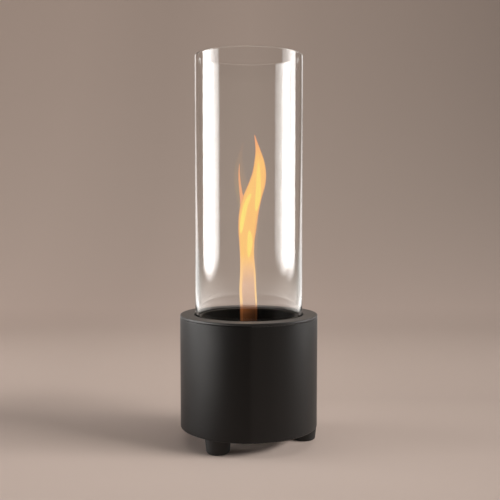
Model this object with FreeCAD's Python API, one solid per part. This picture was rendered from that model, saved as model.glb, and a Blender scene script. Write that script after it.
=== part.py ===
# Tabletop fireplace: a glass chimney stands in the top of a round black base. A swirl insert hangs in the
# base and holds a refillable fuel can. Air for the flame comes in under the base, between its three feet,
# rises round the insert and goes in between the slanted vanes, so the flame turns as it climbs.
# Millimetres, +Z up. The origin is on the table under the middle of the base, and the front faces -Y.

import FreeCAD, Part
import math
import os

# Glass chimney, a plain tube with fire-polished ends
glass_diameter = 90.0
glass_wall = 2.5
glass_length = 220.0
glass_rim_round_share = 0.4             # of the glass wall

# Base shell, drawn steel, open at the top, with a lip turned in at the bottom
shell_height = 93.0
shell_wall = 2.0
shell_bend = 2.0                        # inside radius where the lip turns in
shell_top_round = 0.8
shell_bottom_round = 0.8
lip_bore_diameter = 72.0

# Cover ring, cast, screwed down on the shell: the glass and the insert stand on its ledge
cover_width = 12.0                      # flat top, from the glass recess to the outer edge
cover_thickness = 2.0
cover_edge_round = 0.7
cover_seam_round = 0.5
cover_wall = 2.0
recess_depth = 5.0
recess_clearance = 1.0                  # between the glass and the wall of its recess
recess_edge_round = 0.6
ledge_thickness = 3.0
spigot_depth = 6.0
spigot_clearance = 0.3                  # between the spigot and the inside of the shell
boss_diameter = 8.0
boss_length = 6.0

# Gasket under the glass
gasket_thickness = 1.0
gasket_clearance = 0.3                  # at both edges of the gasket

# Swirl insert, sheet metal: a collar with a folded rim, curved vanes and a tray for the can
sheet = 1.0
rim_clearance = 0.5                     # between the folded rim and the glass
rim_fold_gap = 0.5                      # between the collar's wall and its turned-down skirt
rim_drop = 0.5                          # crest of the rim below the top of the base
insert_clearance = 0.3                  # between the collar and the bore of the cover ring
collar_depth = 21.0
collar_bend = 1.2
vane_count = 12
vane_height = 40.0
vane_chord = 8.0
vane_camber = 0.9
vane_thickness = 1.0
vane_slant = 60.0                       # degrees between a vane and the radius through its middle
vane_tip_clearance = 0.2                # from the outer tip of a vane to the edge of the tray
tray_flange_width = 9.0                 # ring round the can's seat, where the vanes stand
tray_depth = 4.0
tray_bend = 0.8

# Fuel can
can_height = 46.0
can_wall = 0.8
can_bottom_round = 2.0
can_seat_clearance = 0.5                # between the can and the wall of its tray
can_passage = 3.0                       # ring of air left between the lid and the collar's flange

# Can lid, pressed over the can's edge, with the burner mouth in its middle
lid_sheet = 0.8
lid_clearance = 0.2                     # between the lid's seam and the can's edge
lid_skirt = 4.0
lid_panel_drop = 4.0
lid_bend = 0.7
mouth_diameter = 22.0
mouth_lip_height = 6.5
mouth_lip_round_share = 0.35            # of the lid's sheet

# Ceramic wool that holds the fuel
wool_height = 32.0
wool_clearance = 0.3
wool_edge_round = 3.0

# Air inlet plate, clamped on the shell's lip under the pillars
plate_thickness = 1.5
plate_clearance = 0.5                   # between the plate's edge and the bend of the shell
slot_count = 12
slot_width = 4.0
slot_inner_radius = 14.0
slot_margin = 3.0                       # from the end of a slot to the edge of the lip

# Tie pillars, which draw the cover ring down on the shell
pillar_count = 3
first_pillar_angle = -121.6             # degrees from +X, the foot at the front left
pillar_gap = 2.7                        # between a boss and the insert
pillar_across_flats = 7.0
tap_spare = 2.0                         # depth of a tapped hole past the end of its screw

# Screws and studs
screw_diameter = 4.0
thread_clearance = 0.05
hole_clearance = 0.3
stud_engagement = 4.5                   # in the boss, and as far in the pillar
screw_engagement = 8.0
screw_head_diameter = 7.6
screw_head_height = 2.6
screw_head_round = 1.0
socket_across_flats = 2.5
socket_depth = 1.6
washer_diameter = 9.0
washer_thickness = 0.8
washer_clearance = 0.4                  # between the washer and the counterbore of the foot

# Rubber feet, flush with the side of the base
foot_height = 12.5
foot_inset = 0.2
foot_taper = 1.3                        # radius lost from the top of a foot to its sole
foot_bottom_round = 2.2
foot_counterbore_depth = 6.0

# Cuts run this far past the faces they go through
overrun = 1.0

# Points of an outline nearer than this are one point
coincident = 1e-6

full_turn = 360.0
hexagon_sides = 6

# Radii, from the glass outwards and inwards
glass_radius = glass_diameter / 2
glass_bore_radius = glass_radius - glass_wall
recess_radius = glass_radius + recess_clearance
base_radius = recess_radius + cover_width
shell_inner_radius = base_radius - shell_wall
lip_bore_radius = lip_bore_diameter / 2
skirt_radius = glass_bore_radius - rim_clearance
skirt_inner_radius = skirt_radius - sheet
insert_radius = skirt_inner_radius - rim_fold_gap
insert_inner_radius = insert_radius - sheet
cover_bore_radius = insert_radius + insert_clearance
tray_dish_radius = insert_radius - tray_flange_width
can_radius = tray_dish_radius - can_seat_clearance
can_inner_radius = can_radius - can_wall
lid_radius = can_radius + lid_clearance + lid_sheet
collar_flange_radius = lid_radius + can_passage
pillar_circle_radius = insert_radius + pillar_gap + boss_diameter / 2
foot_top_radius = base_radius - foot_inset - pillar_circle_radius
screw_radius = screw_diameter / 2
tapped_radius = screw_radius + thread_clearance
hole_radius = screw_radius + hole_clearance

# Levels, from the table up
lip_top = foot_height + shell_wall
plate_top = lip_top + plate_thickness
seam_level = foot_height + shell_height
cover_top = seam_level + cover_thickness
ledge_level = cover_top - recess_depth
ledge_bottom = ledge_level - ledge_thickness
boss_bottom = ledge_bottom - boss_length
glass_bottom = ledge_level + gasket_thickness
rim_top = cover_top - rim_drop
collar_bottom = rim_top - collar_depth
tray_flange_top = collar_bottom - vane_height
tray_floor = tray_flange_top - tray_depth
can_top = tray_floor + can_height
lid_seam_top = can_top + lid_clearance + lid_sheet
lid_panel_top = lid_seam_top - lid_panel_drop
washer_bottom = foot_counterbore_depth - washer_thickness

Vector = FreeCAD.Vector
up = Vector(0, 0, 1)


def rounded_outline(corners):
    """Closed wire in the XZ plane through corners given as (x, z, rounding)."""
    points = [Vector(x, 0, z) for x, z, rounding in corners]
    stretches = []
    for i, (x, z, rounding) in enumerate(corners):
        corner = points[i]
        if rounding == 0:
            stretches.append((corner, None, corner))
            continue
        back = (points[i - 1] - corner).normalize()
        ahead = (points[(i + 1) % len(points)] - corner).normalize()
        half_angle = back.getAngle(ahead) / 2
        inward = (back + ahead).normalize()
        reach = rounding / math.tan(half_angle)
        middle = corner + inward * (rounding / math.sin(half_angle) - rounding)
        stretches.append((corner + back * reach, middle, corner + ahead * reach))
    edges = []
    for i, (start, middle, end) in enumerate(stretches):
        last_end = stretches[i - 1][2]
        if not last_end.isEqual(start, coincident):
            edges.append(Part.LineSegment(last_end, start).toShape())
        if middle is not None:
            edges.append(Part.Arc(start, middle, end).toShape())
    return Part.Wire(edges)


def lathe(corners):
    """Solid turned round the Z axis from an outline of (radius, height, rounding)."""
    return Part.Face(rounded_outline(corners)).revolve(Vector(0, 0, 0), up, full_turn)


def cylinder(radius, bottom, top):
    return Part.makeCylinder(radius, top - bottom, Vector(0, 0, bottom))


def hexagon_bar(across_flats, bottom, top):
    corner_radius = across_flats / math.sqrt(3)
    turns = [math.tau * i / hexagon_sides for i in range(hexagon_sides + 1)]
    points = [Vector(corner_radius * math.cos(a), corner_radius * math.sin(a), bottom) for a in turns]
    return Part.Face(Part.makePolygon(points)).extrude(up * (top - bottom))


def turned(shape, angle):
    copy = shape.copy()
    copy.rotate(Vector(0, 0, 0), up, angle)
    return copy


def ring_of(shape, count, first_angle=0.0):
    return [turned(shape, first_angle + full_turn * i / count) for i in range(count)]


def at_pillars(shape):
    """Copies of a shape made on the Z axis, one on the axis of each pillar and foot."""
    placed = shape.copy()
    placed.translate(Vector(pillar_circle_radius, 0, 0))
    return ring_of(placed, pillar_count, first_pillar_angle)


def glass_tube():
    rim_round = glass_wall * glass_rim_round_share
    glass_top = glass_bottom + glass_length
    return lathe([
        (glass_bore_radius, glass_bottom, rim_round),
        (glass_radius, glass_bottom, rim_round),
        (glass_radius, glass_top, rim_round),
        (glass_bore_radius, glass_top, rim_round),
    ])


def base_shell():
    shell = lathe([
        (lip_bore_radius, foot_height, 0),
        (base_radius, foot_height, shell_bottom_round),
        (base_radius, seam_level, shell_top_round),
        (shell_inner_radius, seam_level, 0),
        (shell_inner_radius, lip_top, shell_bend),
        (lip_bore_radius, lip_top, 0),
    ])
    return shell.cut(at_pillars(cylinder(hole_radius, foot_height - overrun, lip_top + overrun)))


def cover_ring():
    spigot_radius = shell_inner_radius - spigot_clearance
    spigot_inner_radius = spigot_radius - cover_wall
    recess_wall_radius = recess_radius + cover_wall
    spigot_bottom = seam_level - spigot_depth
    ring = lathe([
        (cover_bore_radius, ledge_bottom, 0),
        (recess_wall_radius, ledge_bottom, 0),
        (recess_wall_radius, seam_level, 0),
        (spigot_inner_radius, seam_level, 0),
        (spigot_inner_radius, spigot_bottom, 0),
        (spigot_radius, spigot_bottom, 0),
        (spigot_radius, seam_level, 0),
        (base_radius, seam_level, cover_seam_round),
        (base_radius, cover_top, cover_edge_round),
        (recess_radius, cover_top, recess_edge_round),
        (recess_radius, ledge_level, 0),
        (cover_bore_radius, ledge_level, 0),
    ])
    bosses = at_pillars(cylinder(boss_diameter / 2, boss_bottom, seam_level))
    recess = cylinder(recess_radius, ledge_level, cover_top + overrun)
    bosses = [boss.cut(recess) for boss in bosses]
    tapped = cylinder(tapped_radius, boss_bottom - overrun, boss_bottom + stud_engagement + tap_spare)
    return ring.fuse(bosses).cut(at_pillars(tapped)).removeSplitter()


def glass_gasket():
    inner_radius = skirt_radius + gasket_clearance
    outer_radius = recess_radius - gasket_clearance
    return cylinder(outer_radius, ledge_level, glass_bottom).cut(
        cylinder(inner_radius, ledge_level - overrun, glass_bottom + overrun))


def air_slot():
    """Straight slot with round ends, along +X, cut through the inlet plate."""
    half_width = slot_width / 2
    outer_radius = lip_bore_radius - slot_margin
    near = slot_inner_radius + half_width
    far = outer_radius - half_width
    bottom = lip_top - overrun

    def point(x, y):
        return Vector(x, y, bottom)

    outline = Part.Wire([
        Part.LineSegment(point(near, -half_width), point(far, -half_width)).toShape(),
        Part.Arc(point(far, -half_width), point(outer_radius, 0), point(far, half_width)).toShape(),
        Part.LineSegment(point(far, half_width), point(near, half_width)).toShape(),
        Part.Arc(point(near, half_width), point(slot_inner_radius, 0), point(near, -half_width)).toShape(),
    ])
    return Part.Face(outline).extrude(up * (plate_top + overrun - bottom))


def air_inlet_plate():
    plate = cylinder(shell_inner_radius - shell_bend - plate_clearance, lip_top, plate_top)
    screw_holes = at_pillars(cylinder(hole_radius, lip_top - overrun, plate_top + overrun))
    return plate.cut(ring_of(air_slot(), slot_count) + screw_holes)


def tie_pillar():
    bar = hexagon_bar(pillar_across_flats, plate_top, boss_bottom)
    lower_tap = cylinder(tapped_radius, plate_top - overrun, plate_top + screw_engagement + tap_spare)
    upper_tap = cylinder(tapped_radius, boss_bottom - stud_engagement - tap_spare, boss_bottom + overrun)
    return bar.cut([lower_tap, upper_tap])


def pillar_stud():
    return cylinder(screw_radius, boss_bottom - stud_engagement, boss_bottom + stud_engagement)


def foot():
    return lathe([
        (washer_diameter / 2 + washer_clearance, 0, 0),
        (foot_top_radius - foot_taper, 0, foot_bottom_round),
        (foot_top_radius, foot_height, 0),
        (hole_radius, foot_height, 0),
        (hole_radius, foot_counterbore_depth, 0),
        (washer_diameter / 2 + washer_clearance, foot_counterbore_depth, 0),
    ])


def foot_washer():
    return cylinder(washer_diameter / 2, washer_bottom, foot_counterbore_depth).cut(
        cylinder(hole_radius, washer_bottom - overrun, foot_counterbore_depth + overrun))


def foot_screw():
    head_bottom = washer_bottom - screw_head_height
    screw = lathe([
        (0, head_bottom, 0),
        (screw_head_diameter / 2, head_bottom, screw_head_round),
        (screw_head_diameter / 2, washer_bottom, 0),
        (screw_radius, washer_bottom, 0),
        (screw_radius, plate_top + screw_engagement, 0),
        (0, plate_top + screw_engagement, 0),
    ])
    return screw.cut(hexagon_bar(socket_across_flats, head_bottom - overrun, head_bottom + socket_depth))


def insert_collar():
    rim_round = (skirt_radius - insert_inner_radius) / 2
    flange_top = collar_bottom + sheet
    return lathe([
        (collar_flange_radius, collar_bottom, 0),
        (insert_radius, collar_bottom, collar_bend + sheet),
        (insert_radius, rim_top - sheet, 0),
        (skirt_inner_radius, rim_top - sheet, 0),
        (skirt_inner_radius, ledge_level, 0),
        (skirt_radius, ledge_level, 0),
        (skirt_radius, rim_top, rim_round),
        (insert_inner_radius, rim_top, rim_round),
        (insert_inner_radius, flange_top, collar_bend),
        (collar_flange_radius, flange_top, 0),
    ])


def swirl_vane():
    """Curved vane on +X, standing on the tray's flange and reaching up to the collar's flange."""
    bow_radius = ((vane_chord / 2) ** 2 + vane_camber ** 2) / (2 * vane_camber)
    half_span = math.asin(vane_chord / 2 / bow_radius)
    outer_bow = bow_radius + vane_thickness / 2
    inner_bow = bow_radius - vane_thickness / 2

    def point(radius, angle):
        return Vector(radius * math.sin(angle), radius * math.cos(angle) - bow_radius, tray_flange_top)

    outline = Part.Wire([
        Part.Arc(point(outer_bow, -half_span), point(outer_bow, 0), point(outer_bow, half_span)).toShape(),
        Part.LineSegment(point(outer_bow, half_span), point(inner_bow, half_span)).toShape(),
        Part.Arc(point(inner_bow, half_span), point(inner_bow, 0), point(inner_bow, -half_span)).toShape(),
        Part.LineSegment(point(inner_bow, -half_span), point(outer_bow, -half_span)).toShape(),
    ])
    vane = turned(Part.Face(outline).extrude(up * vane_height), vane_slant)
    tip = FreeCAD.Rotation(up, vane_slant).multVec(point(inner_bow, half_span))
    tip_circle = insert_radius - vane_tip_clearance
    vane.translate(Vector(math.sqrt(tip_circle ** 2 - tip.y ** 2) - tip.x, 0, 0))
    return vane


def can_tray():
    return lathe([
        (0, tray_floor - sheet, 0),
        (tray_dish_radius + sheet, tray_floor - sheet, tray_bend + sheet),
        (tray_dish_radius + sheet, tray_flange_top - sheet, 0),
        (insert_radius, tray_flange_top - sheet, 0),
        (insert_radius, tray_flange_top, 0),
        (tray_dish_radius, tray_flange_top, sheet / 2),
        (tray_dish_radius, tray_floor, tray_bend),
        (0, tray_floor, 0),
    ])


def fuel_can():
    return lathe([
        (0, tray_floor, 0),
        (can_radius, tray_floor, can_bottom_round),
        (can_radius, can_top, 0),
        (can_inner_radius, can_top, 0),
        (can_inner_radius, tray_floor + can_wall, can_bottom_round - can_wall),
        (0, tray_floor + can_wall, 0),
    ])


def can_lid():
    mouth_radius = mouth_diameter / 2
    seam_inner_radius = can_inner_radius - lid_clearance
    panel_bottom = lid_panel_top - lid_sheet
    skirt_bottom = lid_seam_top - lid_skirt
    mouth_top = lid_panel_top + mouth_lip_height
    lip_round = lid_sheet * mouth_lip_round_share
    return lathe([
        (mouth_radius - lid_sheet, panel_bottom, lid_bend),
        (seam_inner_radius, panel_bottom, lid_bend),
        (seam_inner_radius, can_top + lid_clearance, 0),
        (can_radius + lid_clearance, can_top + lid_clearance, 0),
        (can_radius + lid_clearance, skirt_bottom, 0),
        (lid_radius, skirt_bottom, 0),
        (lid_radius, lid_seam_top, lid_bend),
        (seam_inner_radius - lid_sheet, lid_seam_top, lid_bend),
        (seam_inner_radius - lid_sheet, lid_panel_top, lid_bend),
        (mouth_radius, lid_panel_top, lid_bend),
        (mouth_radius, mouth_top, lip_round),
        (mouth_radius - lid_sheet, mouth_top, lip_round),
    ])


def fuel_wool():
    wool_radius = can_inner_radius - wool_clearance
    wool_bottom = tray_floor + can_wall
    return lathe([
        (0, wool_bottom, 0),
        (wool_radius, wool_bottom, wool_edge_round),
        (wool_radius, wool_bottom + wool_height, wool_edge_round),
        (0, wool_bottom + wool_height, 0),
    ])


def all_nodes():
    nodes = {
        "glass_tube": glass_tube(),
        "base_shell": base_shell(),
        "cover_ring": cover_ring(),
        "glass_gasket": glass_gasket(),
        "air_inlet_plate": air_inlet_plate(),
        "pillar_studs": Part.makeCompound(at_pillars(pillar_stud())),
        "foot_washers": Part.makeCompound(at_pillars(foot_washer())),
        "foot_screws": Part.makeCompound(at_pillars(foot_screw())),
        "insert_collar": insert_collar(),
        "swirl_vanes": Part.makeCompound(ring_of(swirl_vane(), vane_count)),
        "can_tray": can_tray(),
        "fuel_can": fuel_can(),
        "can_lid": can_lid(),
        "fuel_wool": fuel_wool(),
    }
    for number, (pillar, rubber_foot) in enumerate(zip(at_pillars(tie_pillar()), at_pillars(foot())), start=1):
        nodes[f"tie_pillar_{number}"] = pillar
        nodes[f"foot_{number}"] = rubber_foot
    return nodes


os.makedirs("parts", exist_ok=True)
for name, shape in all_nodes().items():
    shape.exportStep(os.path.join("parts", name + ".step"))
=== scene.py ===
import math
import random

import bpy
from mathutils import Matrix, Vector, noise


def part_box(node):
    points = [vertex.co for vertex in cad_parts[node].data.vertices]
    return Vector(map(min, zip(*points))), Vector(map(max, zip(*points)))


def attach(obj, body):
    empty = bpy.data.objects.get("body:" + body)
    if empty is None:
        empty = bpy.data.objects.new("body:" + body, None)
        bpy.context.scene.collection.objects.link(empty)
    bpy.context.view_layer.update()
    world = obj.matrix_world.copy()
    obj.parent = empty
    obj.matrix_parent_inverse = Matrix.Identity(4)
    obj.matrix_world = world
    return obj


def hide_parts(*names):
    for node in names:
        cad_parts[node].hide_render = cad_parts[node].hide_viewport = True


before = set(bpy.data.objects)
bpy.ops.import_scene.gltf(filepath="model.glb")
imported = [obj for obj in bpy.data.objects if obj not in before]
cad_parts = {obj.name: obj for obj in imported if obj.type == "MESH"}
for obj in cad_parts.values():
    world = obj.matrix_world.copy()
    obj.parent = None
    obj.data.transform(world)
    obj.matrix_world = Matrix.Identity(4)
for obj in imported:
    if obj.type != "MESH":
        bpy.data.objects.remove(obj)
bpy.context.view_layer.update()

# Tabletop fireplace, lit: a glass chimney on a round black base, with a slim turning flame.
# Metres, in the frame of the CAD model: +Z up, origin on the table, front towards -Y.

mm = 0.001

# Camera, fitted to the edges of the photographed object
camera_place = (0.00103, -0.6798, 0.2023)
camera_pitch_down = 3.435               # degrees
camera_lens = 58.06                     # millimetres
camera_sensor = 36.0                    # millimetres
camera_nearest = 0.01

# Studio paper: a floor that sweeps up into a wall
floor_reach = 6.0
wall_distance = 1.6
wall_height = 2.6
sweep_radius = 1.0
sweep_steps = 32
background_colour = (0.31, 0.245, 0.21, 1.0)
fade_start = 1.9                        # from here the paper fades into the plain background
fade_end = 3.4
front_fade_start = 0.9                  # the same in front of the object
front_fade_end = 2.0
front_begins = 0.5                      # the floor counts as front from here towards the camera
front_full = -0.1
surroundings_colour = (0.9, 0.8, 0.72, 1.0)
surroundings_strength = 0.05

# Colour of the paper from the front of the floor to the wall, with painted light and shade in it, and its
# painted lightness from left to right
paper_front = -0.6
paper_back = 1.6
paper_half_width = 0.7
paper_colour_and_shade = [
    (0.0, (0.61, 0.505, 0.450)),
    (0.17, (0.64, 0.530, 0.472)),
    (0.25, (0.70, 0.580, 0.518)),
    (0.335, (0.565, 0.462, 0.408)),
    (0.46, (0.618, 0.505, 0.445)),
    (0.62, (0.690, 0.562, 0.497)),
    (0.82, (0.578, 0.475, 0.418)),
    (1.0, (0.494, 0.404, 0.354)),
]
paper_painted_lightness = [
    (0.0, 1.20), (0.17, 1.09), (0.28, 0.97), (0.34, 0.92), (0.5, 0.90), (0.62, 0.775), (1.0, 0.50),
]

# Floor as the glass mirrors it: a painted reflection, glowing only where reflections see it, dark near the
# object and a bright ring round it from some way off
mirror_start = 0.45
mirror_full = 0.70
mirror_top = 0.06                       # the sweep is left out, from here up
mirror_top_end = 0.12
ring_start = 0.6
ring_end = 1.6
ring_lag = 0.13                         # the ring lies this much nearer behind the object than in front
ring_lag_front = -0.3
ring_lag_back = 0.75
# Painted reflection: dark close to the object, then a bright glowing ring, fading further out.
painted_ring_colours = [
    (0.0, (0.06, 0.055, 0.05)),
    (0.32, (0.06, 0.055, 0.05)),
    (0.40, (2.7, 2.58, 2.46)),
    (0.47, (1.8, 1.7, 1.6)),
    (0.54, (1.35, 1.26, 1.19)),
    (0.64, (1.15, 1.07, 0.99)),
    (0.8, (0.95, 0.87, 0.80)),
    (1.0, (0.6, 0.53, 0.47)),
]
ring_front = -0.9
ring_back = 0.8
painted_ring_strength = [(0.0, 0.28), (0.42, 0.75), (0.70, 1.0), (0.83, 0.81), (1.0, 0.36)]

# Softboxes beside the chimney, whose strips show in the glass: brightness from the back end forwards
softbox_distance = 0.95
softbox_bottom = 0.043
softbox_top = 0.64
softbox_spread = 64.0
softbox_across = [(0.0, 1.0), (0.3, 0.55), (0.6, 0.29), (0.85, 0.24), (1.0, 0.32)]
softbox_lowest = 0.45                   # share of its width at which the rounded lower end reaches lowest
softbox_rounding = 0.13
softbox_fade = 0.06                     # share of its height over which the lower end fades in
softbox_brightness = 2.2

# Rim panels behind the chimney, a wedge each: width and brightness from the foot up
rim_distance = 0.75
rim_bottom = 0.018
rim_top = 0.56
rim_spread = 50.0
rim_width = [(0.0, 1.10), (0.16, 0.95), (0.35, 0.62), (0.6, 0.42), (1.0, 0.36)]
rim_softness = 0.11
rim_brightness = [(0.0, 0.20), (0.08, 0.27), (0.18, 0.40), (0.62, 0.40), (0.8, 0.85)]

warm_white = (1.0, 0.965, 0.93)
neutral_white = (1.0, 0.99, 0.98)

# Colours and heights on the object
foot_rubber_colour = (0.010, 0.0095, 0.009)
gasket_colour = (0.020, 0.020, 0.020)
# The insert's rim is painted lighter between these heights, as a highlight line on its crest.
highlight_crest_start = 106.5 * mm            # crest of the insert's folded rim
highlight_crest_end = 107 * mm
can_tint_start = 70 * mm                # the can is heat tinted from here up to its mouth
can_tint_end = 91.5 * mm

# Flame, as the photo shows it: height, middle and half width from the burner mouth up, in millimetres
flame_rows = [
    (83, 0.0, 5.0),
    (92, 0.0, 6.6),
    (104, -0.1, 7.2),
    (116, -0.2, 7.3),
    (128, -0.8, 7.2),
    (142, -0.8, 6.6),
    (156, -1.4, 6.0),
    (167, -1.6, 6.4),
    (179, -1.2, 7.6),
    (193, 0.1, 8.3),
    (205, 2.7, 8.2),
    (216, 6.5, 7.4),
    (226, 8.7, 5.9),
    (236, 8.9, 4.2),
    (245, 7.8, 2.2),
    (253, 6.0, 0.9),
    (258, 4.9, 0.2),
]
tongue_rows = [
    (186, -5.0, 1.2),
    (196, -5.2, 1.9),
    (204, -5.7, 1.7),
    (210, -6.6, 1.3),
    (216, -7.4, 1.0),
    (222, -7.9, 0.8),
    (228, -8.1, 0.5),
    (234, -7.8, 0.15),
]

# Yellow streaks in the flame: height, middle, half width and half depth, in millimetres
streak_rows = {
    "flame_streak_high": [
        (184, 4.0, 0.3, 0.3),
        (198, 6.0, 2.6, 4.6),
        (212, 7.4, 4.0, 5.0),
        (224, 8.2, 3.2, 4.2),
        (234, 8.2, 1.6, 2.8),
        (242, 7.6, 0.3, 0.4),
    ],
    "flame_streak_left": [
        (170, -6.8, 0.3, 0.3),
        (178, -5.9, 1.9, 4.0),
        (187, -4.5, 3.1, 4.9),
        (199, -2.0, 3.4, 5.2),
        (208, 1.4, 2.6, 5.0),
        (217, 5.4, 0.3, 0.3),
    ],
    "flame_streak_middle": [
        (151, -0.3, 0.2, 0.3),
        (157, 0.0, 1.5, 4.2),
        (163, 0.4, 2.6, 4.6),
        (170, 0.6, 3.1, 4.8),
        (177, 0.5, 2.0, 4.9),
        (184, 0.2, 0.3, 0.3),
    ],
}
flame_sides = 40
flame_steps_per_row = 6
flame_depth_share = 0.6                 # depth of the flame as a share of its width
flame_edge_top = 172                    # bright edges end here, in millimetres
left_edge_half_width = 1.2
right_edge_half_width = 0.8
body_at_sides = 0.3                     # share of the gas seen at the flame's left and right sides
body_gain = 1.1

# Flame colours: low down, then higher up at its sides and inside it
flame_foot_colour = (0.75, 0.24, 0.07)
flame_low_colour = (1.0, 0.61, 0.40)
orange_colours = (flame_low_colour, (0.93, 0.38, 0.205), (1.0, 0.60, 0.195))
deep_colours = (flame_low_colour, (0.78, 0.32, 0.21), (0.87, 0.42, 0.21))
yellow_colours = ((0.99, 0.68, 0.22), (1.0, 0.63, 0.20), (1.0, 0.80, 0.215))
edge_colours = ((1.0, 0.66, 0.28), (0.99, 0.60, 0.26), (1.0, 0.66, 0.28))
flame_brightness = 1.05

# Heights between which the flame changes: foot to low part, low part to high part, and the tip
low_start = 112 * mm
low_full = 117 * mm
high_start = 132 * mm
high_full = 158 * mm
tip_start = 236 * mm
tip_end = 254 * mm
tip_warmth = 0.1                        # share of the inner colour left at the tip
streak_weight = 0.7
outer_warmth = 0.6
inner_warmth = 1.5

# Foot of the flame, in the cup: denser on its left than on its right, and even further up
foot_left = -5 * mm
foot_right = 4 * mm
foot_left_share = 1.15
foot_right_share = 0.42
foot_end_start = 108 * mm
foot_end = 114 * mm

# How dense the glowing gas is, as (height in millimetres, alpha of one layer)
body_density = [
    (100, 0.03), (107, 0.045), (111, 0.09), (114, 0.14), (119, 0.24),
    (128, 0.30), (136, 0.38), (145, 0.58), (153, 0.82), (165, 0.92),
]
edge_density = [(104, 0.03), (113, 0.05), (119, 0.70), (140, 0.70), (172, 0.50)]
streak_density = [(145, 0.55), (160, 0.82), (185, 0.86), (215, 0.80), (240, 0.62)]

# Wool pad: gaps to the solid it stands for, lumps, and loose fibres on its top
pad_side_gap = 0.3 * mm
pad_bottom_gap = 0.2 * mm
pad_top_gap = 1.2 * mm
pad_corner = 3.0 * mm
pad_corner_steps = 4
pad_corner_turn = 0.3                   # radians for each step
pad_under_steps = 3
pad_under_share = 0.1                   # of the radius, from ring to ring on the underside
pad_side_steps = 14
pad_top_steps = 16
pad_top_inset = 1.2                     # corner radii in from the wall, where the top's first ring lies
pad_sides = 120
pad_middle_drop = 0.6 * mm
lump_scale = 320.0
lump_falloff = 0.8
lump_step = 2.0
lump_octaves = 4
lump_inward = 1.1 * mm
lump_drop = 1.4 * mm
lump_least_reach = 4.0 * mm             # closer to the axis the share drawn in no longer grows
fibre_count = 220
fibre_sides = 5
fibre_rings = 7
fibre_seat = 0.7 * mm                   # ends of the fibres below the top of the pad


def add_node(tree, kind, inputs=None, **settings):
    """Shader node with its settings, and its inputs given as values or as sockets to link from."""
    made = tree.nodes.new(kind)
    for name, value in settings.items():
        setattr(made, name, value)
    for name, value in (inputs or {}).items():
        if isinstance(value, bpy.types.NodeSocket):
            tree.links.new(value, made.inputs[name])
        else:
            made.inputs[name].default_value = value
    return made


def new_material(name):
    """Empty node material, with its tree and the socket of the object's own coordinates."""
    material = bpy.data.materials.new(name)
    material.use_nodes = True
    tree = material.node_tree
    tree.nodes.clear()
    place = add_node(tree, "ShaderNodeTexCoord").outputs["Object"]
    return material, tree, place


def finish_material(tree, shader):
    """Links the shader node to the material's output."""
    add_node(tree, "ShaderNodeOutputMaterial", {"Surface": shader.outputs[0]})


def mixed_shader(tree, share, first, second):
    """Shader that goes from the first to the second as share goes from 0 to 1."""
    made = add_node(tree, "ShaderNodeMixShader", {0: share})
    tree.links.new(first.outputs[0], made.inputs[1])
    tree.links.new(second.outputs[0], made.inputs[2])
    return made


def math_of(tree, operation, *values):
    """Result of a math node on values or sockets."""
    return add_node(tree, "ShaderNodeMath", dict(enumerate(values)), operation=operation).outputs[0]


def parts_of(tree, vector):
    """Sockets X, Y and Z of a vector."""
    return add_node(tree, "ShaderNodeSeparateXYZ", {"Vector": vector}).outputs


def noise_of(tree, place, scale, detail=2.0):
    """Noise from 0 to 1 over the place."""
    made = add_node(tree, "ShaderNodeTexNoise", {"Vector": place, "Scale": scale, "Detail": detail})
    return made.outputs["Fac"]


def stretched(tree, place, scale):
    """Place with its own scale along each axis."""
    return add_node(tree, "ShaderNodeMapping", {"Vector": place, "Scale": scale}).outputs["Vector"]


def remap(tree, value, low, high, start=0.0, end=1.0):
    """A value from start to end, taken to low to high and held there."""
    made = add_node(tree, "ShaderNodeMapRange", {
        "Value": value, "From Min": start, "From Max": end, "To Min": low, "To Max": high})
    return made.outputs["Result"]


def ramp(tree, value, stops):
    """Colour ramp with stops of (position, colour)."""
    made = add_node(tree, "ShaderNodeValToRGB", {"Fac": value})
    elements = made.color_ramp.elements
    while len(elements) < len(stops):
        elements.new(0.5)
    for element, (position, colour) in zip(elements, stops):
        element.position = position
        element.color = (*colour, 1.0)
    return made.outputs["Color"]


def grey_ramp(tree, value, stops):
    """Ramp of plain numbers with stops of (position, number)."""
    return ramp(tree, value, [(position, (number,) * 3) for position, number in stops])


def paler(tree, share, added, colour):
    """Colour with a share of another colour added to it."""
    return add_node(tree, "ShaderNodeVectorMath", {0: share, 1: added, 2: colour},
                    operation="MULTIPLY_ADD").outputs[0]


def bump_of(tree, height, distance, strength):
    """Normal of a surface roughened by the height."""
    made = add_node(tree, "ShaderNodeBump", {
        "Height": height, "Distance": distance, "Strength": strength})
    return made.outputs["Normal"]


def glass_material():
    """Clear tube glass, with faint drawing lines along it. Lamps shine through it."""
    material, tree, place = new_material("chimney_glass_clear")
    lines = noise_of(tree, stretched(tree, place, (60.0, 60.0, 2.0)), scale=1.0)
    haze = noise_of(tree, place, scale=30.0, detail=4.0)
    glass = add_node(tree, "ShaderNodeBsdfPrincipled", {
        "Base Color": (0.985, 0.99, 0.985, 1.0),
        "Roughness": remap(tree, haze, 0.0, 0.003, start=0.4, end=0.8),
        "IOR": 1.47,
        "Transmission Weight": 1.0,
        "Normal": bump_of(tree, lines, distance=0.02 * mm, strength=0.1),
    })
    clear = add_node(tree, "ShaderNodeBsdfTransparent", {"Color": (0.95, 0.96, 0.95, 1.0)})
    in_shadow = add_node(tree, "ShaderNodeLightPath").outputs["Is Shadow Ray"]
    finish_material(tree, mixed_shader(tree, in_shadow, glass, clear))
    return material


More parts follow.
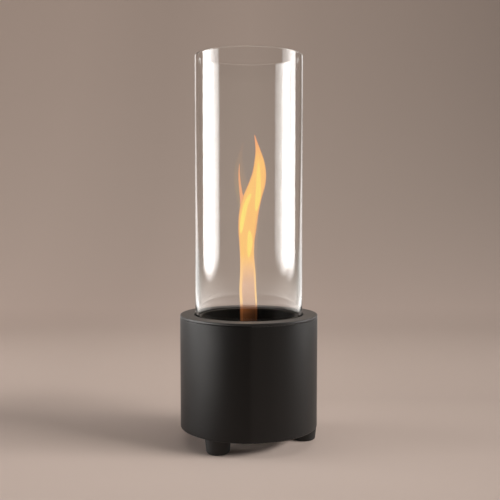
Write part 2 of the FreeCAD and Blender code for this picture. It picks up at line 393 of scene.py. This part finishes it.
def powder_coat_material(name, shine, roughness):
    """Black powder coat: fine orange-peel grain, uneven sheen, lighter sharp edges as a painted edge
    highlight and partly wear, and a painted lighter top where light falls from above.
    """
    material, tree, place = new_material(name)
    grain = noise_of(tree, place, scale=2600.0, detail=3.0)
    patches = noise_of(tree, place, scale=35.0, detail=4.0)
    surface = add_node(tree, "ShaderNodeNewGeometry").outputs
    # Painted edge highlight, partly also wear: sharp edges get a lighter grey, as where rounded edges catch
    # light.
    edge_wear_and_highlight = remap(tree, surface["Pointiness"], 0.0, 1.0, start=0.52, end=0.62)
    coated = ramp(tree, edge_wear_and_highlight, [(0.0, (0.0024, 0.0024, 0.0024)), (1.0, (0.022, 0.021, 0.020))])
    # Painted light: faces that look up get a lighter colour added, as if lit from above.
    blend_share = remap(tree, parts_of(tree, surface["Normal"])["Z"], 0.0, 1.0, start=0.6, end=0.95)
    coat = add_node(tree, "ShaderNodeBsdfPrincipled", {
        "Base Color": paler(tree, blend_share, (0.072, 0.065, 0.061), coated),
        "Roughness": remap(tree, patches, roughness - 0.04, roughness + 0.04, start=0.3, end=0.7),
        "Specular IOR Level": shine,
        "Normal": bump_of(tree, grain, distance=0.04 * mm, strength=0.35),
    })
    finish_material(tree, coat)
    return material


def heat_paint_material():
    """Satin black heat-proof paint, browned by soot, with a painted highlight line on the rim's crest and
    lighter edges that are a painted highlight and partly wear.
    """
    material, tree, place = new_material("black_heat_paint_satin")
    soot = noise_of(tree, stretched(tree, place, (90.0, 90.0, 30.0)), scale=1.0, detail=4.0)
    grain = noise_of(tree, place, scale=1800.0)
    sooty = ramp(tree, soot, [(0.35, (0.0030, 0.0027, 0.0025)), (0.75, (0.007, 0.006, 0.005))])
    # Painted highlight: a lighter line on the rim's crest and lighter sharp edges, partly also wear, where
    # the rim catches light.
    painted_crest_highlight = remap(tree, parts_of(tree, place)["Z"], 0.0, 1.8, highlight_crest_start, highlight_crest_end)
    pointed = add_node(tree, "ShaderNodeNewGeometry").outputs["Pointiness"]
    edge = remap(tree, pointed, 0.0, 1.0, start=0.52, end=0.60)
    rim_wear_and_highlight = math_of(tree, "MAXIMUM", painted_crest_highlight, edge)
    paint = add_node(tree, "ShaderNodeBsdfPrincipled", {
        "Base Color": paler(tree, rim_wear_and_highlight, (0.05, 0.045, 0.04), sooty),
        "Roughness": remap(tree, soot, 0.46, 0.58, start=0.3, end=0.7),
        "Specular IOR Level": 0.07,
        "Normal": bump_of(tree, grain, distance=0.03 * mm, strength=0.3),
    })
    finish_material(tree, paint)
    return material


def rubber_material(name, colour):
    """Matte moulded rubber with a dusty, slightly mottled skin."""
    material, tree, place = new_material(name)
    dust = noise_of(tree, place, scale=160.0, detail=5.0)
    skin = noise_of(tree, place, scale=1500.0)
    lighter = tuple(1.9 * part for part in colour)
    rubber = add_node(tree, "ShaderNodeBsdfPrincipled", {
        "Base Color": ramp(tree, dust, [(0.4, colour), (0.8, lighter)]),
        "Roughness": remap(tree, dust, 0.55, 0.72, start=0.3, end=0.7),
        "Normal": bump_of(tree, skin, distance=0.04 * mm, strength=0.3),
    })
    finish_material(tree, rubber)
    return material


def plated_steel_material():
    """Zinc-plated steel: cool grey metal, cloudy, with fine rolling marks."""
    material, tree, place = new_material("plated_steel_zinc")
    clouds = noise_of(tree, place, scale=120.0, detail=4.0)
    marks = noise_of(tree, stretched(tree, place, (1500.0, 200.0, 200.0)), scale=1.0)
    steel = add_node(tree, "ShaderNodeBsdfPrincipled", {
        "Base Color": ramp(tree, clouds, [(0.3, (0.46, 0.47, 0.48)), (0.7, (0.60, 0.60, 0.58))]),
        "Metallic": 1.0,
        "Roughness": remap(tree, clouds, 0.28, 0.44, start=0.3, end=0.7),
        "Normal": bump_of(tree, marks, distance=0.01 * mm, strength=0.4),
    })
    finish_material(tree, steel)
    return material


def can_steel_material():
    """Drawn stainless can, brushed round its axis and heat tinted towards the burner mouth."""
    material, tree, place = new_material("can_steel_tinted")
    brushed = noise_of(tree, stretched(tree, place, (120.0, 120.0, 2400.0)), scale=1.0)
    heated = remap(tree, parts_of(tree, place)["Z"], 0.0, 1.0, can_tint_start, can_tint_end)
    tint = ramp(tree, heated, [
        (0.0, (0.50, 0.49, 0.47)), (0.6, (0.50, 0.42, 0.30)), (1.0, (0.30, 0.22, 0.20))])
    steel = add_node(tree, "ShaderNodeBsdfPrincipled", {
        "Base Color": tint,
        "Metallic": 1.0,
        "Roughness": remap(tree, brushed, 0.24, 0.40, start=0.3, end=0.7),
        "Normal": bump_of(tree, brushed, distance=0.01 * mm, strength=0.4),
    })
    finish_material(tree, steel)
    return material


def wool_material():
    """Matted ceramic fibre, off-white, soaked and a little browned in places."""
    material, tree, place = new_material("ceramic_wool_fibre")
    tufts = noise_of(tree, place, scale=220.0, detail=6.0)
    strands = noise_of(tree, stretched(tree, place, (900.0, 250.0, 900.0)), scale=1.0, detail=3.0)
    wool = add_node(tree, "ShaderNodeBsdfPrincipled", {
        "Base Color": ramp(tree, tufts, [(0.3, (0.52, 0.46, 0.38)), (0.65, (0.78, 0.75, 0.69))]),
        "Roughness": remap(tree, tufts, 0.85, 1.0),
        "Sheen Weight": 0.3,
        "Normal": bump_of(tree, strands, distance=0.4 * mm, strength=0.7),
    })
    finish_material(tree, wool)
    return material


def flame_material(name, colours, density):
    """Glowing gas, faintly streaked: brown at its foot, then pale, then warmer from its sides inwards."""
    low_colour, outer, inner = colours
    material, tree, place = new_material(name)
    spot = parts_of(tree, place)
    height = spot["Z"]
    body = add_node(tree, "ShaderNodeAttribute", attribute_name="body").outputs["Fac"]
    streaks = noise_of(tree, stretched(tree, place, (170.0, 170.0, 22.0)), scale=1.0)
    warmth = math_of(tree, "MULTIPLY_ADD", streaks, streak_weight, body)
    warm = remap(tree, warmth, 0.0, 1.0, outer_warmth, inner_warmth)
    below_tip = remap(tree, height, 1.0, tip_warmth, tip_start, tip_end)
    high_part = ramp(tree, math_of(tree, "MULTIPLY", warm, below_tip), [(0.0, outer), (1.0, inner)])
    above_foot = remap(tree, height, 0.0, 1.0, low_start, low_full)
    low_part = ramp(tree, above_foot, [(0.0, flame_foot_colour), (1.0, low_colour)])
    above_low = remap(tree, height, 0.0, 1.0, high_start, high_full)
    colour = add_node(tree, "ShaderNodeMix", {0: above_low, 6: low_part, 7: high_part}, data_type="RGBA")
    gas = add_node(tree, "ShaderNodeBsdfPrincipled", {
        "Base Color": (0.0, 0.0, 0.0, 1.0),
        "Roughness": 1.0,
        "Specular IOR Level": 0.0,
        "Emission Color": colour.outputs[2],
        "Emission Strength": flame_brightness,
        "Alpha": flame_alpha(tree, spot, body, density),
    })
    finish_material(tree, gas)
    return material


def flame_alpha(tree, spot, body, density):
    """Alpha of one layer of gas, by height, thinner at the flame's sides and on the right of its foot."""
    bottom = density[0][0]
    top = density[-1][0]
    rise = remap(tree, spot["Z"], 0.0, 1.0, bottom * mm, top * mm)
    thick = grey_ramp(tree, rise, [((level - bottom) / (top - bottom), alpha) for level, alpha in density])
    fading_right = remap(tree, spot["X"], foot_left_share, foot_right_share, foot_left, foot_right)
    above_foot = remap(tree, spot["Z"], 0.0, 1.0, foot_end_start, foot_end)
    even = math_of(tree, "MAXIMUM", fading_right, above_foot)
    return math_of(tree, "MULTIPLY", math_of(tree, "MULTIPLY", thick, body), even)


def seen_by_eye(tree):
    """1 for what the camera sees, straight or through glass, and 0 for light that bounces."""
    rays = add_node(tree, "ShaderNodeLightPath").outputs
    return math_of(tree, "MAXIMUM", rays["Is Camera Ray"], rays["Is Transmission Ray"])


def floor_material():
    """Matte warm studio paper, with painted shade making it darker up the wall and to the right, which
    fades out far from the object.
    """
    material, tree, place = new_material("studio_paper")
    spot = parts_of(tree, place)
    away = add_node(tree, "ShaderNodeVectorMath", {0: place}, operation="LENGTH").outputs["Value"]
    # Painted light and shade: the paper's colour changes from front to wall and from left to right as light
    # falls on it.
    depth = remap(tree, spot["Y"], 0.0, 1.0, paper_front, paper_back)
    across = remap(tree, spot["X"], 0.0, 1.0, -paper_half_width, paper_half_width)
    painted_lightness = grey_ramp(tree, across, paper_painted_lightness)
    colour = add_node(tree, "ShaderNodeVectorMath", {0: ramp(tree, depth, paper_colour_and_shade), 1: painted_lightness},
                      operation="MULTIPLY")
    paper = add_node(tree, "ShaderNodeBsdfPrincipled", {
        "Base Color": colour.outputs[0],
        "Roughness": remap(tree, noise_of(tree, place, scale=3.0), 0.75, 0.85),
        "Specular IOR Level": 0.2,
    })
    background = add_node(tree, "ShaderNodeEmission", {"Color": background_colour})
    blend_share = math_of(tree, "MULTIPLY", far_off(tree, away, spot), seen_by_eye(tree))
    lit = mixed_shader(tree, blend_share, paper, background)
    # Painted reflection: where the glass mirrors the floor, an emitting ring stands in for the lit paper.
    mirrored = painted_reflection_mask(tree, away, spot)
    finish_material(tree, mixed_shader(tree, mirrored, lit, painted_reflection_ring(tree, away, spot)))
    return material


def far_off(tree, away, spot):
    """1 for the paper far from the object, which begins nearer in front of it."""
    far = remap(tree, away, 0.0, 1.0, fade_start, fade_end)
    far_in_front = remap(tree, away, 0.0, 1.0, front_fade_start, front_fade_end)
    front = remap(tree, spot["Y"], 1.0, 0.0, front_full, front_begins)
    return math_of(tree, "MAXIMUM", far, math_of(tree, "MULTIPLY", far_in_front, front))


def painted_reflection_mask(tree, away, spot):
    """1 for the floor that the glass mirrors, from some way off and below the sweep, where the painted
    reflection is shown.
    """
    rays = add_node(tree, "ShaderNodeLightPath").outputs
    mirrored = remap(tree, rays["Glossy Depth"], 0.0, 1.0)
    beyond = remap(tree, away, 0.0, 1.0, mirror_start, mirror_full)
    not_wall = remap(tree, spot["Z"], 1.0, 0.0, mirror_top, mirror_top_end)
    return math_of(tree, "MULTIPLY", mirrored, math_of(tree, "MULTIPLY", beyond, not_wall))


def painted_reflection_ring(tree, away, spot):
    """Painted reflection: a ring of floor round the object that glows only in reflections, as the foot of
    the glass mirrors it, dark near the object and weaker in front.
    """
    nearer = remap(tree, spot["Y"], 0.0, ring_lag, ring_lag_front, ring_lag_back)
    reach = math_of(tree, "ADD", away, nearer)
    ring = ramp(tree, remap(tree, reach, 0.0, 1.0, ring_start, ring_end), painted_ring_colours)
    depth = remap(tree, spot["Y"], 0.0, 1.0, ring_front, ring_back)
    return add_node(tree, "ShaderNodeEmission", {
        "Color": ring, "Strength": grey_ramp(tree, depth, painted_ring_strength)})


def dress(material, *names):
    """Gives CAD nodes a material."""
    for name in names:
        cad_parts[name].material_slots[0].material = material


def mesh_object(name, points, faces, material):
    """Smooth-shaded mesh in the scene, with one material."""
    mesh = bpy.data.meshes.new(name)
    mesh.from_pydata(points, [], faces)
    mesh.update()
    mesh.polygons.foreach_set("use_smooth", [True] * len(mesh.polygons))
    mesh.materials.append(material)
    made = bpy.data.objects.new(name, mesh)
    bpy.context.scene.collection.objects.link(made)
    return made


def tube_faces(rings, sides):
    """Faces of a closed lofted tube whose points come ring by ring, with its two end points last."""
    faces = []
    for ring in range(rings - 1):
        for side in range(sides):
            beside = (side + 1) % sides
            low = ring * sides
            high = low + sides
            faces.append((low + side, low + beside, high + beside, high + side))
    first_end = rings * sides
    top = (rings - 1) * sides
    for side in range(sides):
        beside = (side + 1) % sides
        faces.append((beside, side, first_end))
        faces.append((top + side, top + beside, first_end + 1))
    return faces


def curve_point(a, b, c, d, t):
    """Number between b and c, at share t, on the smooth curve through a, b, c and d."""
    slope = (c - a) * t
    bend = (2 * a - 5 * b + 4 * c - d) * t ** 2
    twist = (3 * b - a - 3 * c + d) * t ** 3
    return 0.5 * (2 * b + slope + bend + twist)


def between(rows, steps):
    """Rows of numbers with smooth rows put between them."""
    smooth_rows = []
    last = len(rows) - 1
    for index in range(last):
        before = rows[max(index - 1, 0)]
        here = rows[index]
        there = rows[index + 1]
        after = rows[min(index + 2, last)]
        for step in range(steps):
            columns = zip(before, here, there, after)
            smooth_rows.append(tuple(curve_point(*column, step / steps) for column in columns))
    smooth_rows.append(rows[-1])
    return smooth_rows


def flame_piece(name, rows, material):
    """Closed flame through rows of (height, middle, half width, half depth) in millimetres."""
    sections = between(rows, flame_steps_per_row)
    points = []
    body = []
    for height, middle, half_width, half_depth in sections:
        for side in range(flame_sides):
            angle = math.tau * side / flame_sides
            across = middle + half_width * math.cos(angle)
            points.append((across * mm, half_depth * math.sin(angle) * mm, height * mm))
            body.append(min(1.0, body_at_sides + body_gain * abs(math.sin(angle))))
    for end in (sections[0], sections[-1]):
        points.append((end[1] * mm, 0.0, end[0] * mm))
        body.append(body_at_sides)
    made = mesh_object(name, points, tube_faces(len(sections), flame_sides), material)
    values = made.data.attributes.new("body", "FLOAT", "POINT")
    values.data.foreach_set("value", body)
    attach(made, "burner_can")


def with_depth(rows):
    """Rows of (height, middle, half width) with the flame's usual half depth added."""
    return [(*row, row[2] * flame_depth_share) for row in rows]


def edge_rows(side, half_width):
    """Rows of a thin bright edge along one side of the flame's lower part, side -1 left or 1 right."""
    return [(height, middle + side * (body_half_width - half_width), half_width)
            for height, middle, body_half_width in flame_rows if height <= flame_edge_top]


def light_flame():
    """Body and tongue of the flame, bright edges along its lower part and yellow streaks in it."""
    orange = flame_material("flame_orange", orange_colours, body_density)
    deep = flame_material("flame_deep", deep_colours, body_density)
    yellow = flame_material("flame_yellow", yellow_colours, streak_density)
    edge = flame_material("flame_edge", edge_colours, edge_density)
    flame_piece("flame_body", with_depth(flame_rows), orange)
    flame_piece("flame_tongue", with_depth(tongue_rows), deep)
    flame_piece("flame_edge_left", with_depth(edge_rows(-1, left_edge_half_width)), edge)
    flame_piece("flame_edge_right", with_depth(edge_rows(1, right_edge_half_width)), edge)
    for name, rows in streak_rows.items():
        flame_piece(name, rows, yellow)


def pad_profile(radius, bottom, top):
    """Outline of the wool pad as (radius, level): its underside, its wall, a round corner and its top."""
    outline = []
    for step in range(pad_under_steps):
        outline.append((radius * (1 - pad_under_share * (pad_under_steps - step)), bottom))
    wall = top - bottom - 2 * pad_corner
    for step in range(pad_side_steps + 1):
        outline.append((radius, bottom + pad_corner + wall * step / pad_side_steps))
    for step in range(1, pad_corner_steps + 1):
        bend = math.sin(pad_corner_turn * step)
        outline.append((radius - pad_corner * bend, top - pad_corner * (1 - bend)))
    for step in range(pad_top_steps):
        outline.append(((radius - pad_top_inset * pad_corner) * (1 - step / pad_top_steps), top))
    return outline


def wool_pad():
    """Pad of matted fibre in the can: a lumpy disc with loose fibres matted on its top."""
    low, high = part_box("fuel_wool")
    radius = high[0] - pad_side_gap
    bottom = low[2] + pad_bottom_gap
    top = high[2] - pad_top_gap
    profile = pad_profile(radius, bottom, top)
    points = []
    for reach, level in profile:
        for side in range(pad_sides):
            angle = math.tau * side / pad_sides
            spot = Vector((reach * math.cos(angle), reach * math.sin(angle), level))
            lump = noise.fractal(spot * lump_scale, lump_falloff, lump_step, lump_octaves) * 0.5 + 0.5
            inward = 1.0 - lump_inward * lump / max(reach, lump_least_reach)
            drop = lump_drop * lump if level > bottom + pad_corner else 0.0
            points.append((spot.x * inward, spot.y * inward, spot.z - drop))
    points.append((0.0, 0.0, bottom))
    points.append((0.0, 0.0, top - pad_middle_drop))
    faces = tube_faces(len(profile), pad_sides)
    add_fibres(points, faces, radius - pad_corner, top)
    pad = mesh_object("fuel_wool_pad", points, faces, wool_material())
    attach(pad, "burner_can")
    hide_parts("fuel_wool")


def add_fibres(points, faces, reach, top):
    """Loose fibres, each a thin closed curved tube lying on the top of the pad."""
    chance = random.Random(7)
    for fibre in range(fibre_count):
        angle = chance.uniform(0, math.tau)
        out = reach * math.sqrt(chance.random())
        heading = chance.uniform(0, math.tau)
        length = chance.uniform(4.0, 9.0) * mm
        curl = chance.uniform(-1.4, 1.4)
        thickness = chance.uniform(0.07, 0.13) * mm
        arch = chance.uniform(0.2, 1.0) * mm
        x = out * math.cos(angle)
        y = out * math.sin(angle)
        start = len(points)
        ends = []
        for ring in range(fibre_rings):
            share = ring / (fibre_rings - 1)
            level = top - fibre_seat + arch * math.sin(math.pi * share)
            turn = heading + curl * share
            away = math.hypot(x, y)
            if away > reach:
                x *= reach / away
                y *= reach / away
            for side in range(fibre_sides):
                round_angle = math.tau * side / fibre_sides
                sideways = thickness * math.cos(round_angle)
                points.append((x - sideways * math.sin(turn), y + sideways * math.cos(turn),
                               level + thickness * math.sin(round_angle)))
            if ring in (0, fibre_rings - 1):
                ends.append((x, y, level))
            x += math.cos(turn) * length / fibre_rings
            y += math.sin(turn) * length / fibre_rings
        points.extend(ends)
        for face in tube_faces(fibre_rings, fibre_sides):
            faces.append(tuple(start + index for index in face))


def studio_floor():
    """Floor that sweeps up into a wall behind the object."""
    sweep_start = wall_distance - sweep_radius
    profile = [(-floor_reach, 0.0), (sweep_start, 0.0)]
    for step in range(1, sweep_steps + 1):
        angle = math.pi / 2 * step / sweep_steps
        profile.append((sweep_start + sweep_radius * math.sin(angle), sweep_radius * (1 - math.cos(angle))))
    profile.append((wall_distance, wall_height))
    points = []
    for y, z in profile:
        points.append((-floor_reach, y, z))
        points.append((floor_reach, y, z))
    faces = [(2 * i, 2 * i + 1, 2 * i + 3, 2 * i + 2) for i in range(len(profile) - 1)]
    floor = mesh_object("studio_floor", points, faces, floor_material())


def area_light(name, place, target, width, height, power, spread=180.0, colour=warm_white):
    """Lamp panel that faces the target and shines within its spread, in degrees."""
    lamp = bpy.data.lights.new(name, "AREA")
    lamp.shape = "RECTANGLE"
    lamp.size = width
    lamp.size_y = height
    lamp.energy = power
    lamp.color = colour
    lamp.spread = math.radians(spread)
    made = bpy.data.objects.new(name, lamp)
    made.location = place
    made.rotation_euler = (Vector(target) - Vector(place)).to_track_quat("-Z", "Y").to_euler()
    made.visible_camera = False
    bpy.context.scene.collection.objects.link(made)
    return made


def around(angle, distance, level):
    """Place at an angle in degrees from +X, that far from the middle."""
    turn = math.radians(angle)
    return (distance * math.cos(turn), distance * math.sin(turn), level)


def panel(name, first_angle, last_angle, distance, bottom, top, power, spread):
    """Upright lamp panel that faces the chimney and covers the angles given, in degrees from +X."""
    half_span = math.radians((last_angle - first_angle) / 2)
    level = (bottom + top) / 2
    place = around((first_angle + last_angle) / 2, distance, level)
    width = 2 * distance * math.tan(half_span)
    return area_light(name, place, (0, 0, level), width, top - bottom, power, spread, neutral_white)


def panel_nodes(made, on_left):
    """Node tree of a panel, with the place on it from 0 to 1: forwards from its back end, and up."""
    made.data.use_nodes = True
    tree = made.data.node_tree
    spot = parts_of(tree, add_node(tree, "ShaderNodeNewGeometry").outputs["Parametric"])
    forward = spot["X"] if on_left else remap(tree, spot["X"], 1.0, 0.0)
    return tree, forward, spot["Y"]


def set_glow(tree, strength):
    """Links the strength over a panel to its lamp."""
    tree.links.new(strength, tree.nodes["Emission"].inputs["Strength"])


def not_straight_through(tree):
    """1 for light on a surface or a lamp mirrored once, 0 for one seen through glass or mirrored twice."""
    rays = add_node(tree, "ShaderNodeLightPath").outputs
    unmirrored = remap(tree, rays["Glossy Depth"], 1.0, 0.0)
    through = remap(tree, rays["Transmission Depth"], 0.0, 1.0)
    not_straight = remap(tree, math_of(tree, "MULTIPLY", through, unmirrored), 1.0, 0.0)
    at_most_once = remap(tree, rays["Glossy Depth"], 1.0, 0.0, start=1.0, end=2.0)
    return math_of(tree, "MULTIPLY", not_straight, at_most_once)


def softbox(name, first_angle, last_angle, power):
    """Upright softbox with a rounded lower end, covering the angles given, in degrees from +X."""
    made = panel(name, first_angle, last_angle, softbox_distance, softbox_bottom, softbox_top,
                 power, softbox_spread)
    tree, forward, up = panel_nodes(made, on_left=first_angle + last_angle > 180)
    across = grey_ramp(tree, forward, softbox_across)
    from_lowest = math_of(tree, "SUBTRACT", forward, softbox_lowest)
    squared = math_of(tree, "MULTIPLY", from_lowest, from_lowest)
    above_end = math_of(tree, "MULTIPLY_ADD", squared, -softbox_rounding, up)
    rising = remap(tree, above_end, 0.0, softbox_brightness, 0.0, softbox_fade)
    cloth = math_of(tree, "MULTIPLY", across, rising)
    set_glow(tree, math_of(tree, "MULTIPLY", cloth, not_straight_through(tree)))


def rim_panel(name, first_angle, last_angle, power):
    """Wedge of light behind the chimney, wider at its foot, which draws the line down the glass's edge."""
    made = panel(name, first_angle, last_angle, rim_distance, rim_bottom, rim_top, power, rim_spread)
    made.visible_transmission = False
    tree, forward, up = panel_nodes(made, on_left=first_angle + last_angle > 180)
    past_wedge = math_of(tree, "SUBTRACT", forward, grey_ramp(tree, up, rim_width))
    wedge = remap(tree, past_wedge, 1.0, 0.0, -rim_softness, rim_softness)
    set_glow(tree, math_of(tree, "MULTIPLY", wedge, grey_ramp(tree, up, rim_brightness)))


def studio_lights():
    """Softboxes beside the object, a key at the right front, rim panels behind, a soft light above
    and a card on the floor at the left front that throws light up at the base."""
    softbox("softbox_left", first_angle=158, last_angle=204, power=2.6)
    softbox("softbox_right", first_angle=-15, last_angle=25, power=1.25)
    key_place = around(angle=-17, distance=2.7, level=1.3)
    key = area_light("key_light", key_place, (0, 0, 0), width=1.6, height=0.4, power=94.0)
    key.visible_glossy = False
    key.visible_transmission = False
    rim_panel("rim_left", first_angle=105, last_angle=140, power=0.27)
    rim_panel("rim_right", first_angle=40, last_angle=75, power=0.27)
    area_light("top_light", (0.0, 0.1, 1.8), (0, 0.1, 0), width=1.6, height=1.0, power=7.0)
    card_place = around(angle=205, distance=0.45, level=0.004)
    above_card = (card_place[0], card_place[1], 1.0)
    card = area_light("bounce_card", card_place, above_card, width=0.30, height=0.24, power=1.3)
    card.visible_transmission = False


def studio_world():
    """Dim warm surroundings, shown lighter where they are the background."""
    world = bpy.data.worlds.new("studio_world")
    world.use_nodes = True
    tree = world.node_tree
    tree.nodes.clear()
    dim = add_node(tree, "ShaderNodeBackground", {
        "Color": surroundings_colour, "Strength": surroundings_strength})
    shown = add_node(tree, "ShaderNodeBackground", {"Color": background_colour, "Strength": 1.0})
    mixed = mixed_shader(tree, seen_by_eye(tree), dim, shown)
    add_node(tree, "ShaderNodeOutputWorld", {"Surface": mixed.outputs[0]})
    bpy.context.scene.world = world


def studio_camera():
    """Camera that sees the object as the photo does."""
    lens = bpy.data.cameras.new("photo_camera")
    lens.lens = camera_lens
    lens.sensor_width = camera_sensor
    lens.clip_start = camera_nearest
    camera = bpy.data.objects.new("photo_camera", lens)
    camera.location = camera_place
    camera.rotation_euler = (math.radians(90 - camera_pitch_down), 0, 0)
    bpy.context.scene.collection.objects.link(camera)
    bpy.context.scene.camera = camera


dress(glass_material(), "glass_tube")
dress(powder_coat_material("black_powder_coat_side", shine=0.37, roughness=0.43), "base_shell")
dress(powder_coat_material("black_powder_coat_top", shine=0.85, roughness=0.48), "cover_ring")
dress(heat_paint_material(), "insert_collar", "swirl_vanes", "can_tray")
dress(rubber_material("foot_rubber_matte", foot_rubber_colour), "foot_1", "foot_2", "foot_3")
dress(rubber_material("gasket_silicone_matte", gasket_colour), "glass_gasket")
dress(plated_steel_material(), "air_inlet_plate", "tie_pillar_1", "tie_pillar_2", "tie_pillar_3",
      "pillar_studs", "foot_washers", "foot_screws")
dress(can_steel_material(), "fuel_can", "can_lid")
wool_pad()
light_flame()

studio_floor()
studio_lights()
studio_world()
studio_camera()
bpy.context.scene.view_settings.view_transform = "Standard"
